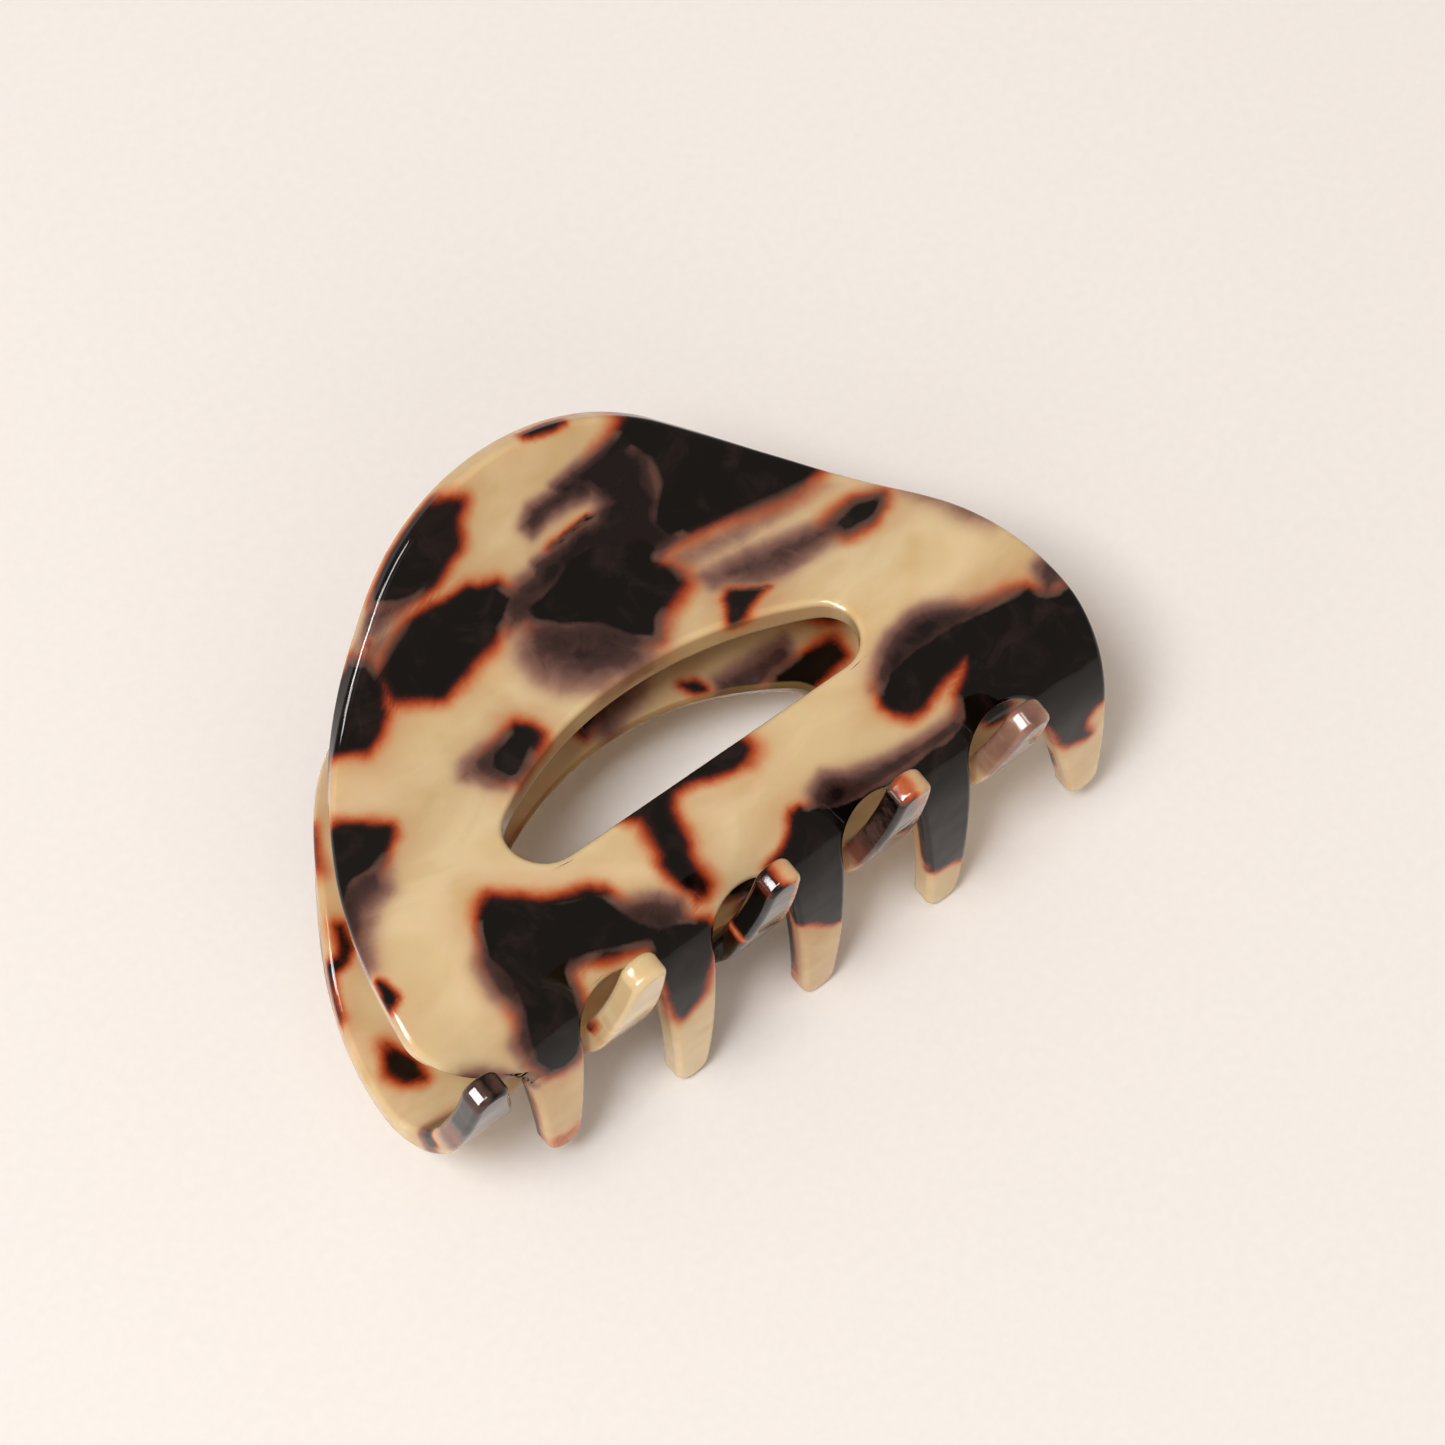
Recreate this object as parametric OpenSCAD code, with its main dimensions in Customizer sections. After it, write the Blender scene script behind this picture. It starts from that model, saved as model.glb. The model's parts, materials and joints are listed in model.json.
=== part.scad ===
// Claw clip: two identical bent plates with interlocking teeth, joined by a sprung hinge.
// It lies on the back of its rear jaw, hinge along X, handles towards +Y, front jaw up.

/* [Plate] */
// Width of the clip along its hinge
clip_width = 82; // [78:0.5:88]
// Thickness of the acetate plate
plate_t = 2.8; // [2.4:0.1:3.2]
// Rounding polished onto every edge
edge_round = 0.7; // [0.3:0.05:0.9]

/* [Side profile, measured along the plate from the handle end] */
// Slant of the straight handle, outward from upright
handle_flare = 49; // [42:1:54]
// Length of the straight handle
handle_run = 10; // [6:0.1:11]
// Bend at the waist that turns the handle back in
waist_bend = 69.3; // [62:0.1:74]
// Where the waist bend ends
waist_end = 28.3; // [27:0.1:31]
// Where the belly bend starts
belly_start = 31; // [30:0.1:33]
// Even bend of the belly that turns the plate under
belly_bend = 60; // [54:0.5:64]
// Where the tighter bend at the tooth roots starts
root_start = 43; // [41:0.1:45]
// Extra bend at the tooth roots
root_bend = 36; // [30:0.5:40]
// Where the belly ends and the nearly straight teeth start
belly_end = 61; // [59:0.1:62]
// Slight further curl of the teeth up to their tips
tooth_curl = 13; // [5:0.5:20]
// Length of the plate to the longest tooth's tip
plate_len = 79.4; // [78:0.1:80]

/* [Flat outline] */
// How far each plate sits to its own last-tooth side of the hinge's middle
plate_shift = 0.75; // [0:0.05:1]
// Radius of the rounded handle end
tip_r = 25.2; // [23:0.1:27]
// Radius of the plate's rounded side
side_r = 46.9; // [42:0.1:50]
// Where the plate is widest
side_s = 50; // [48:0.1:51]
// How far the side beside the last tooth leans in
side_lean = 0.8; // [0.2:0.1:2]
// Half width left where the shoulder meets the first tooth
shoulder_x = 31.6; // [31.4:0.1:32.2]

/* [Slot] */
// Top of the slot's arch
slot_top = 27.6; // [26:0.1:28.5]
// Straight lower edge of the slot
slot_low = 40.95; // [39.5:0.05:42]
// Radius of the slot's arch
slot_r = 34.5; // [33:0.5:38]
// Radius of the slot's two corners
slot_corner_r = 4.1; // [3.6:0.1:4.8]

/* [Teeth] */
// Distance from one tooth to the next
tooth_pitch = 16.1; // [15.8:0.1:16.2]
// How far the middle tooth stands off the plate's middle, so the two rows mesh
tooth_shift = 3.5; // [3.2:0.1:4]
// Radius of the round root between two teeth
gap_r = 4.7; // [4.5:0.1:5.4]
// Top of the round roots
gap_top = 53.2; // [52.5:0.1:54]
// Half width of a tooth near its tip
tip_half_w = 2; // [1.8:0.1:2.2]
// How much shorter a tooth would be half a clip's width from the longest
tip_bow = 10.1; // [8:0.1:12]
// Where across the plate the teeth are longest
tip_mid = 6.4; // [0:0.1:8]
// Middle of the last tooth's tip
last_tip_x = 37.8; // [36:0.1:38.4]
// Half width of the first tooth's shoulder side
first_half_w = 3.3; // [2.8:0.1:3.4]

/* [Hinge] */
// Station of the plate level with the hinge axis
hinge_s = 19; // [18:0.1:20]
// Distance from the hinge axis to the plate's outer face
waist_y = 6.4; // [6.2:0.05:7.5]
// Radius of the pin
pin_r = 1; // [0.8:0.05:1.2]
// Running clearance of the pin in the ears
pin_gap = 0.05; // [0.02:0.01:0.08]
// Radius of the pin's two formed heads
head_r = 1.8; // [1.5:0.1:2.2]
// Outer radius of an ear
ear_r = 3; // [2.6:0.1:3.3]
// Thickness of an ear
ear_t = 3; // [2.5:0.1:3.5]
// Half length of an ear's foot along the plate
ear_foot = 4.2; // [3.5:0.1:5]
// Play between neighbouring ears
ear_gap = 0.3; // [0.2:0.05:0.5]
// Distance from the middle to the inner ears
ear_in = 5.6; // [5.2:0.1:7]

/* [Spring] */
// Radius of the spring wire
wire_r = 0.45; // [0.35:0.05:0.5]
// Radius of the coil, to the middle of the wire
coil_r = 1.85; // [1.75:0.05:2]
// Whole turns of the coil
coil_turns = 7; // [5:1:7]
// Station on the handle that a leg presses on
leg_s = 4.5; // [3.5:0.1:6]

/* [Hidden] */
$fn = 48;

cream = [0.84, 0.74, 0.55];
amber = [0.55, 0.36, 0.2];
steel = [0.72, 0.72, 0.7];

function lerp(a, b, f) = a + (b - a) * f;
function clamp01(u) = max(0, min(1, u));
function smooth(u) = let (c = clamp01(u)) c * c * (3 - 2 * c);
function unit(v) = v / norm(v);

// ---- side profile: slant of the plate at station s, and its path in the YZ plane
profile_step = 0.2;
profile_n = ceil((plate_len + 1) / profile_step);
function slant(s) = handle_flare
    - waist_bend * smooth((s - handle_run) / (waist_end - handle_run))
    + belly_bend * clamp01((s - belly_start) / (belly_end - belly_start))
    + root_bend * smooth((s - root_start) / (belly_end - root_start))
    + tooth_curl * max(0, s - belly_end) / (plate_len - belly_end);
path = [for (i = 0, y = 0, z = 0; i <= profile_n;
             a = slant((i + 0.5) * profile_step),
             y = y + profile_step * sin(a), z = z - profile_step * cos(a), i = i + 1)
        [i * profile_step, y, z]];
path_y = [for (p = path) [p[0], p[1]]];
path_z = [for (p = path) [p[0], p[2]]];
y_shift = -waist_y - lookup(hinge_s, path_y);
z_shift = -lookup(hinge_s, path_z);
// Point of the plate at station s, depth d below its outer face: [y, z] about the hinge axis
function plate_yz(s, d) = [lookup(s, path_y) + y_shift + d * cos(slant(s)),
                           lookup(s, path_z) + z_shift + d * sin(slant(s))];

// ---- flat outline: handle arc, straight flank, side arc
side_x = clip_width / 2 - side_r;
flank = let (dx = side_x, ds = side_s - tip_r)
    atan2(ds, dx) - acos((tip_r - side_r) / norm([dx, ds]));
flank_a = [tip_r * cos(flank), tip_r + tip_r * sin(flank)];
flank_b = [side_x + side_r * cos(flank), side_s + side_r * sin(flank)];
function half_w(s) =
    s <= flank_a[1] ? sqrt(max(0, tip_r * tip_r - (tip_r - s) * (tip_r - s)))
    : s < flank_b[1] ? lerp(flank_a[0], flank_b[0], (s - flank_a[1]) / (flank_b[1] - flank_a[1]))
    : side_x + sqrt(side_r * side_r - pow(side_s - min(s, side_s), 2));
gap_mid = gap_top + gap_r;
lean_s = side_s - 3;
function left_x(s) = -half_w(s)
    + (half_w(gap_mid) - shoulder_x) * pow(clamp01((s - lean_s) / (gap_mid - lean_s)), 2);
function right_x(s) = half_w(s) - side_lean * smooth((s - lean_s) / 16);

// ---- slot: an arch, a straight lower edge, and a rounded corner at each end
arch_s = slot_top + slot_r;
corner_s = slot_low - slot_corner_r;
corner_x = sqrt(pow(slot_r - slot_corner_r, 2) - pow(arch_s - corner_s, 2));
corner_a = -asin((arch_s - corner_s) / (slot_r - slot_corner_r));
arch_x = corner_x + slot_corner_r * cos(corner_a);
function arch(x) = arch_s - sqrt(slot_r * slot_r - x * x);

// ---- teeth: root interval and tip station of tooth i, counted from the shoulder side
function gap_x(i) = (i - 1.5) * tooth_pitch + tooth_shift;
function root_l(i) = i == 0 ? gap_x(0) - tooth_pitch / 2 - first_half_w : gap_x(i - 1) + gap_r;
function root_r(i) = i == 4 ? right_x(gap_mid) : gap_x(i) - gap_r;
function tooth_x(i) = i == 4 ? last_tip_x : (root_l(i) + root_r(i)) / 2;
function tooth_tip(i) = plate_len
    - tip_bow * pow(abs(tooth_x(i) - tip_mid) / (clip_width / 2), 4);

// ---- grid of the flat plate: eleven lines run down it, rows run across it
rows_handle = 18;
rows_slot = 6;
rows_web = 8;
rows_root = 5;
rows_tooth = 8;
rows_tip = 5;
row_slot = rows_handle;
row_web = row_slot + rows_slot;
row_gap = row_web + rows_web;
row_teeth = row_gap + rows_root;
row_end = row_teeth + rows_tooth + rows_tip;
cap_angle = 34;
root_angle = 12;
tip_angle = 74;

cap_x = tip_r * sin(cap_angle);
arch_end = arch(arch_x);
// Share of the width at which line k crosses the row that follows the arch
arch_w = half_w(arch_end);
arch_row = [-arch_w, -(arch_w + arch_x) / 2, for (i = [-3:3]) arch_x * i / 3,
            (arch_w + arch_x) / 2, arch_w];
function handle_pt(k, f) =
    let (x0 = lerp(-cap_x, cap_x, k / 10),
         s = lerp(tip_r - sqrt(tip_r * tip_r - x0 * x0),
                  arch(max(-arch_x, min(arch_x, arch_row[k]))), f),
         s_end = lerp(tip_r - sqrt(tip_r * tip_r - cap_x * cap_x), arch_end, f))
    [lerp(k / 5 - 1, arch_row[k] / arch_w, f) * half_w(s_end), s];
function slot_row(a) =
    let (s = corner_s + slot_corner_r * sin(a), x = corner_x + slot_corner_r * cos(a))
    [for (k = [0:10]) [k == 0 ? left_x(s) : k == 1 ? (left_x(s) - x) / 2
        : k == 9 ? (right_x(s) + x) / 2 : k == 10 ? right_x(s) : x * (k - 5) / 3, s]];
function root_row(a) =
    let (s = gap_mid - gap_r * cos(a), w = gap_r * sin(a))
    [for (k = [0:10]) [k == 0 ? left_x(s) : k == 1 ? root_l(0) : k == 10 ? right_x(s)
        : k % 2 == 0 ? gap_x(k / 2 - 1) - w : gap_x((k - 3) / 2) + w, s]];
first_root = root_row(root_angle);
last_slot = slot_row(90);
function web_row(f) =
    let (s = lerp(slot_low, first_root[0][1], f))
    [for (k = [0:10]) [k == 0 ? left_x(s) : k == 10 ? right_x(s)
        : lerp(last_slot[k][0], first_root[k][0], smooth(f)), s]];
function tooth_pt(k, f, a) =
    let (i = floor((max(k, 1) - 1) / 2), side = k % 2 == 1 ? -1 : 1, x = tooth_x(i),
         root = side < 0 ? root_l(i) : root_r(i), body = tooth_tip(i) - tip_half_w)
    [lerp(root, x + side * tip_half_w, f) - side * tip_half_w * (1 - cos(a)),
     lerp(gap_mid, body, f) + tip_half_w * sin(a)];

grid = [
    for (j = [0:rows_handle - 1]) [for (k = [0:10]) handle_pt(k, j / rows_handle)],
    for (j = [0:rows_slot - 1]) slot_row(lerp(corner_a, 90, j / rows_slot)),
    for (j = [0:rows_web - 1]) web_row(j / rows_web),
    for (j = [0:rows_root]) root_row(lerp(root_angle, 90, j / rows_root)),
    for (j = [1:rows_tooth]) [for (k = [0:10]) tooth_pt(k, j / rows_tooth, 0)],
    for (j = [1:rows_tip]) [for (k = [0:10]) tooth_pt(k, 1, tip_angle * j / rows_tip)],
];
// The first slot row follows the arch between the slot's two ends
plan = [for (j = [0:row_end]) j == row_slot
    ? [for (k = [0:10]) k > 2 && k < 8 ? [arch_row[k], arch(arch_row[k])] : grid[j][k]]
    : grid[j]];

// A cell lies between lines k, k + 1 and rows j, j + 1; the slot and the tooth gaps are open
function solid(k, j) = k >= 0 && k < 10 && j >= 0 && j < row_end
    && !(k >= 2 && k <= 7 && j >= row_slot && j < row_web)
    && !(k > 0 && k % 2 == 0 && j >= row_gap)
    && !(k == 0 && j >= row_teeth);
function sign_of(a, b) = (a ? 1 : 0) - (b ? 1 : 0);
// Edge normals, pointing into the plate; zero where an edge is not a border
function across(k, j) = let (g = sign_of(solid(k, j), solid(k, j - 1)))
    g == 0 || k < 0 || k > 9 ? [0, 0]
    : let (d = plan[j][k + 1] - plan[j][k]) g * unit([-d[1], d[0]]);
function along(k, j) = let (g = sign_of(solid(k, j), solid(k - 1, j)))
    g == 0 || j < 0 || j >= row_end ? [0, 0]
    : let (d = plan[j + 1][k] - plan[j][k]) g * unit([d[1], -d[0]]);
function inset(k, j) =
    let (n = across(k - 1, j) + across(k, j) + along(k, j - 1) + along(k, j), m = n * n)
    m < 0.01 ? [0, 0] : n * (2 / m);

// Layers through the plate: depth and inset follow a quarter round at both faces
layer_angles = [0, 45, 90];
layers = [for (a = layer_angles) [edge_round * (1 - cos(a)), edge_round * (1 - sin(a))],
          for (a = layer_angles) [plate_t - edge_round * (1 - sin(a)),
                                  edge_round * (1 - cos(a))]];
top_layer = len(layers) - 1;
insets = [for (j = [0:row_end]) [for (k = [0:10]) inset(k, j)]];
function at(l, j, k) = (l * (row_end + 1) + j) * 11 + k;
jaw_points = [for (l = layers, j = [0:row_end], k = [0:10])
    let (q = plan[j][k] + l[1] * insets[j][k], p = plate_yz(q[1], l[0])) [q[0] + plate_shift, p[0], p[1]]];
function quad(a, b, c, d) = [[a, b, c], [a, c, d]];
jaw_faces = [
    for (j = [0:row_end - 1], k = [0:9]) if (solid(k, j)) each concat(
        quad(at(0, j, k), at(0, j, k + 1), at(0, j + 1, k + 1), at(0, j + 1, k)),
        quad(at(top_layer, j, k), at(top_layer, j + 1, k),
             at(top_layer, j + 1, k + 1), at(top_layer, j, k + 1))),
    for (l = [0:top_layer - 1], j = [0:row_end], k = [0:9])
        let (g = sign_of(solid(k, j), solid(k, j - 1))) if (g != 0) each g > 0
            ? quad(at(l, j, k), at(l + 1, j, k), at(l + 1, j, k + 1), at(l, j, k + 1))
            : quad(at(l, j, k), at(l, j, k + 1), at(l + 1, j, k + 1), at(l + 1, j, k)),
    for (l = [0:top_layer - 1], j = [0:row_end - 1], k = [0:10])
        let (g = sign_of(solid(k, j), solid(k - 1, j))) if (g != 0) each g > 0
            ? quad(at(l, j, k), at(l, j + 1, k), at(l + 1, j + 1, k), at(l + 1, j, k))
            : quad(at(l, j, k), at(l + 1, j, k), at(l + 1, j + 1, k), at(l, j + 1, k)),
];

// ---- rest pose: on the rear handle's end and the front jaw's longest teeth
handle_foot = -plate_yz(0, 0);
tooth_foot = plate_yz(tooth_tip(2), 0);
rest_tilt = atan((handle_foot[0] - tooth_foot[0]) / (-handle_foot[1] - tooth_foot[1]));
function laid(p) = [p[0], p[1] * sin(rest_tilt) + p[2] * cos(rest_tilt),
                    -p[1] * cos(rest_tilt) + p[2] * sin(rest_tilt)];
laid_points = [for (p = jaw_points) each [laid(p), laid([-p[0], -p[1], p[2]])]];
laid_y = [for (p = laid_points) p[1]];
laid_z = [for (p = laid_points) p[2]];
lift = [0, -(min(laid_y) + max(laid_y)) / 2, -min(laid_z)];
module lay() translate(lift) rotate([rest_tilt - 90, 0, 0]) children();
module turned() rotate([0, 0, 180]) children();

// ---- pieces, drawn about the hinge axis
module jaw() polyhedron(points = jaw_points, faces = jaw_faces, convexity = 10);

foot_gap = 0.02;
foot_n = 14;
foot_edge = [for (i = [0:foot_n])
    plate_yz(hinge_s + ear_foot * (2 * i / foot_n - 1), plate_t + foot_gap)];
neck = ear_r * 0.8;
module ear(x) translate([x - ear_t / 2, 0, 0]) rotate([90, 0, 90]) difference() {
    union() {
        linear_extrude(ear_t) polygon(concat(foot_edge, [[0, -neck], [0, neck]]));
        cylinder(r = ear_r, h = ear_t);
    }
    translate([0, 0, -1]) cylinder(r = pin_r + pin_gap, h = ear_t + 2);
}
inner_ear_x = ear_in + ear_t / 2;
outer_ear_x = inner_ear_x + ear_t + ear_gap;
head_t = 0.9;
pin_half = outer_ear_x + ear_t / 2 + 0.15;

module front_jaw() color(cream) lay() jaw();
module rear_jaw() color(cream) lay() turned() jaw();
module front_ear_left() color(amber) lay() ear(-outer_ear_x);
module front_ear_right() color(amber) lay() ear(inner_ear_x);
module rear_ear_left() color(amber) lay() turned() ear(inner_ear_x);
module rear_ear_right() color(amber) lay() turned() ear(-outer_ear_x);

module hinge_pin() color(steel) lay() rotate([0, 90, 0]) {
    translate([0, 0, -pin_half]) cylinder(r = pin_r, h = 2 * pin_half);
    for (m = [0, 1]) mirror([0, 0, m]) translate([0, 0, pin_half]) {
        cylinder(r = head_r, h = head_t * 0.5);
        translate([0, 0, head_t * 0.5]) cylinder(r1 = head_r, r2 = head_r * 0.7, h = head_t * 0.5);
    }
}

// A leg leaves the coil on a tangent and ends on the handle's inner face
leg_end = plate_yz(leg_s, plate_t + wire_r + 0.05);
leg_dir = atan2(leg_end[1], leg_end[0]);
leg_open = acos(coil_r / norm(leg_end));
leg_start = leg_dir - leg_open;
coil_half = ear_in - 0.35 - wire_r;
coil_sweep = 360 * coil_turns + (180 - 2 * leg_dir) + 2 * leg_open;
coil_n = 24 * coil_turns;
function coil_pt(f) = let (a = leg_start + f * coil_sweep)
    [lerp(-coil_half, coil_half, f), coil_r * cos(a), coil_r * sin(a)];
wire_path = concat([[-coil_half, leg_end[0], leg_end[1]]],
                   [for (i = [0:coil_n]) coil_pt(i / coil_n)],
                   [[coil_half, -leg_end[0], leg_end[1]]]);
module torsion_spring() color(steel) lay() wire(wire_path, wire_r, 8);

// A round wire along a path that winds about the X axis
module wire(pts, r, sides) {
    n = len(pts);
    points = [for (i = [0:n - 1])
        let (t = unit(pts[min(n - 1, i + 1)] - pts[max(0, i - 1)]),
             u = unit([1, 0, 0] - t * t[0]), v = cross(t, u))
        for (q = [0:sides - 1]) pts[i] + r * (cos(360 * q / sides) * u + sin(360 * q / sides) * v)];
    faces = [[for (q = [0:sides - 1]) q],
             for (i = [0:n - 2], q = [0:sides - 1]) let (q1 = (q + 1) % sides) each quad(
                 i * sides + q, (i + 1) * sides + q, (i + 1) * sides + q1, i * sides + q1),
             [for (q = [sides - 1:-1:0]) (n - 1) * sides + q]];
    polyhedron(points = points, faces = faces, convexity = 10);
}

front_jaw();
rear_jaw();
front_ear_left();
front_ear_right();
rear_ear_left();
rear_ear_right();
hinge_pin();
torsion_spring();
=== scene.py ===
import json
import math
import bpy
import numpy as np
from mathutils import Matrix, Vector


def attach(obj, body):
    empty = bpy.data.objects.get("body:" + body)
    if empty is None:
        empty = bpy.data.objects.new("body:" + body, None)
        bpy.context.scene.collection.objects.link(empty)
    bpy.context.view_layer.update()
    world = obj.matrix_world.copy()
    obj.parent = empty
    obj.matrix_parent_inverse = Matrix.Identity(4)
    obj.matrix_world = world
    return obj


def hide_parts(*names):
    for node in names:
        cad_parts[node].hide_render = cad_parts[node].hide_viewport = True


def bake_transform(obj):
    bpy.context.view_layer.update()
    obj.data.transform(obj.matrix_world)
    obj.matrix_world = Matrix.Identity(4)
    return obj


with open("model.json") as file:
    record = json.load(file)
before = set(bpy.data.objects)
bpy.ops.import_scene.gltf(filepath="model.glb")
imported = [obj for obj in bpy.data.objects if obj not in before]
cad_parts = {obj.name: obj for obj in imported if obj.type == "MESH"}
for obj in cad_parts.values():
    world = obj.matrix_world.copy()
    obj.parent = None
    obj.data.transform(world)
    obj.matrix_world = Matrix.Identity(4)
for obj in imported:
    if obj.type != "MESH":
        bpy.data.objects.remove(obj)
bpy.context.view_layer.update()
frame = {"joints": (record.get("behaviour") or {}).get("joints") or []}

MM = 0.001

# The clip is built in mm and degrees in its own axes about the hinge: x along the hinge, y to the rear,
# z up to the handles. On the flat plate, s runs from the handle's end to the teeth, and depth from the
# outer face to the inner one.

# ---------------------------------------------------------------- sizes, as in the CAD model
clip_width = 82.0        # width of the clip along its hinge
plate_t = 2.8            # thickness of the acetate plate
edge_round = 0.7         # rounding polished onto every edge
handle_flare = 49.0      # slant of the straight handle, outward from upright
handle_run = 10.0        # length of the straight handle
waist_bend = 69.3        # bend at the waist that turns the handle back in
waist_end = 28.3         # where the waist bend ends
belly_start = 31.0       # where the belly bend starts
belly_bend = 60.0        # even bend of the belly that turns the plate under
root_start = 43.0        # where the tighter bend at the tooth roots starts
root_bend = 36.0         # extra bend at the tooth roots
belly_end = 61.0         # where the belly ends and the nearly straight teeth start
tooth_curl = 13.0        # slight further curl of the teeth up to their tips
plate_len = 79.4         # length of the plate to the longest tooth's tip
plate_shift = 0.75       # how far each plate sits to its own last-tooth side of the hinge's middle
tip_r = 25.2             # radius of the rounded handle end
side_r = 46.9            # radius of the plate's rounded side
side_s = 50.0            # where the plate is widest
side_lean = 0.8          # how far the side beside the last tooth leans in
shoulder_x = 31.6        # half width left where the shoulder meets the first tooth
slot_top = 27.6          # top of the slot's arch
slot_low = 40.95         # straight lower edge of the slot
slot_r = 34.5            # radius of the slot's arch
slot_corner_r = 4.1      # radius of the slot's two corners
tooth_pitch = 16.1       # distance from one tooth to the next
tooth_shift = 3.5        # how far the middle tooth stands off the plate's middle
gap_r = 4.7              # radius of the round root between two teeth
gap_top = 53.2           # top of the round roots
tip_half_w = 2.0         # half width of a tooth near its tip
tip_bow = 10.1           # how much shorter a tooth would be half a clip's width from the longest
tip_mid = 6.4            # where across the plate the teeth are longest
last_tip_x = 37.8        # middle of the last tooth's tip
first_half_w = 3.3       # half width of the first tooth's shoulder side
hinge_s = 19.0           # station of the plate level with the hinge axis
waist_y = 6.4            # distance from the hinge axis to the plate's outer face
pin_r = 1.0              # radius of the pin
pin_gap = 0.05           # running clearance of the pin in the ears
head_r = 1.8             # radius of the pin's two formed heads
head_t = 0.9             # height of a head
ear_r = 3.0              # outer radius of an ear
ear_t = 3.0              # thickness of an ear
ear_foot = 4.2           # half length of an ear's foot along the plate
ear_gap = 0.3            # gap between two ears
ear_in = 5.6             # inner face of the inner ears
wire_r = 0.45            # radius of the spring's wire
coil_r = 1.85            # radius of the coil, to the middle of its wire
coil_turns = 7           # turns in the coil
leg_s = 4.5              # station where each leg ends on its handle


# ---------------------------------------------------------------- plate, as in the CAD model
def smooth(u):
    """Eases from 0 to 1 as u does, flat at both ends."""
    u = np.clip(u, 0.0, 1.0)
    return u * u * (3 - 2 * u)


def slant(s):
    """Slant of the plate at station s, in radians."""
    return np.radians(
        handle_flare
        - waist_bend * smooth((s - handle_run) / (waist_end - handle_run))
        + belly_bend * np.clip((s - belly_start) / (belly_end - belly_start), 0, 1)
        + root_bend * smooth((s - root_start) / (belly_end - root_start))
        + tooth_curl * np.maximum(0, s - belly_end) / (plate_len - belly_end))


# the outer face's path, summed in short steps past the tooth tips
path_step = 0.2
path_n = math.ceil((plate_len + 1) / path_step)
mid = slant((np.arange(path_n) + 0.5) * path_step)
path_s = np.arange(path_n + 1) * path_step
path_y = np.concatenate([[0], np.cumsum(np.sin(mid)) * path_step])
path_z = np.concatenate([[0], -np.cumsum(np.cos(mid)) * path_step])
path_y += -waist_y - np.interp(hinge_s, path_s, path_y)
path_z += -np.interp(hinge_s, path_s, path_z)


def plate_yz(s, d):
    """Place of station s at depth d in the front jaw's side view."""
    s = np.asarray(s, float)
    return (np.interp(s, path_s, path_y) + d * np.cos(slant(s)),
            np.interp(s, path_s, path_z) + d * np.sin(slant(s)))


# the straight flank runs from flank_a on the round handle end to flank_b on the round side
side_x = clip_width / 2 - side_r
flank = (math.atan2(side_s - tip_r, side_x)
         - math.acos((tip_r - side_r) / math.hypot(side_x, side_s - tip_r)))
flank_a = (tip_r * math.cos(flank), tip_r + tip_r * math.sin(flank))
flank_b = (side_x + side_r * math.cos(flank), side_s + side_r * math.sin(flank))


def half_w(s):
    """Half width of the plate at station s, before its two lower sides lean in."""
    s = np.asarray(s, float)
    cap = np.sqrt(np.maximum(0, tip_r ** 2 - (tip_r - s) ** 2))
    line = flank_a[0] + (flank_b[0] - flank_a[0]) * (s - flank_a[1]) / (flank_b[1] - flank_a[1])
    side = side_x + np.sqrt(np.maximum(0, side_r ** 2 - (side_s - np.minimum(s, side_s)) ** 2))
    return np.where(s <= flank_a[1], cap, np.where(s < flank_b[1], line, side))


gap_mid = gap_top + gap_r      # middle of the round roots
lean_s = side_s - 3            # where the two sides start to lean in
lean_run = 16                  # how far the side beside the last tooth takes to lean in


def left_x(s):
    """Side of the plate beside the first tooth, down to that tooth's shoulder."""
    u = np.clip((s - lean_s) / (gap_mid - lean_s), 0, 1)
    return -half_w(s) + (half_w(gap_mid) - shoulder_x) * u ** 2


def right_x(s):
    """Side of the plate beside the last tooth."""
    return half_w(s) - side_lean * smooth((s - lean_s) / lean_run)


# the slot's arch meets each round corner at (arch_x, arch(arch_x))
arch_s = slot_top + slot_r
corner_s = slot_low - slot_corner_r
corner_x = math.sqrt((slot_r - slot_corner_r) ** 2 - (arch_s - corner_s) ** 2)
corner_a = -math.asin((arch_s - corner_s) / (slot_r - slot_corner_r))
arch_x = corner_x + slot_corner_r * math.cos(corner_a)


def arch(x):
    """Station of the slot's arched top edge."""
    return arch_s - np.sqrt(slot_r ** 2 - np.asarray(x, float) ** 2)


def gap_x(i):
    """Middle of the gap between tooth i and the next one."""
    return (i - 1.5) * tooth_pitch + tooth_shift


# each tooth's two sides at its root, and its tip
root_l = [gap_x(0) - tooth_pitch / 2 - first_half_w] + [gap_x(i) + gap_r for i in range(4)]
root_r = [gap_x(i) - gap_r for i in range(4)] + [float(right_x(gap_mid))]
tooth_x = [(a + b) / 2 for a, b in zip(root_l[:4], root_r)] + [last_tip_x]
tooth_tip = [plate_len - tip_bow * abs((x - tip_mid) / (clip_width / 2)) ** 4 for x in tooth_x]

# ---------------------------------------------------------------- fine grid of the flat plate
# Ten columns of cells run from the handle's end to the teeth. A tooth takes every other column, the gaps
# between teeth take the rest, and the slot takes the six in the middle.
SUB = 14                       # fine columns in each of the ten columns
R_HANDLE = 60                  # rows from the handle's end to the slot's corners, along the arch
R_SLOT = 14                    # rows round the slot's corners
R_WEB = 26                     # rows from the slot to the tooth gaps
R_ROOT = 18                    # rows round the tooth gaps
R_TOOTH = 40                   # rows down the teeth
R_TIP = 14                     # rows round the tips
row_slot = R_HANDLE
row_web = row_slot + R_SLOT
row_gap = row_web + R_WEB
row_teeth = row_gap + R_ROOT
K = np.arange(10 * SUB + 1) / SUB
CAP_A = math.radians(34)       # the first row spans this much of the handle's end, each way
ROOT_A = math.radians(3)       # each gap opens this far round its root at its first row
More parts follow.
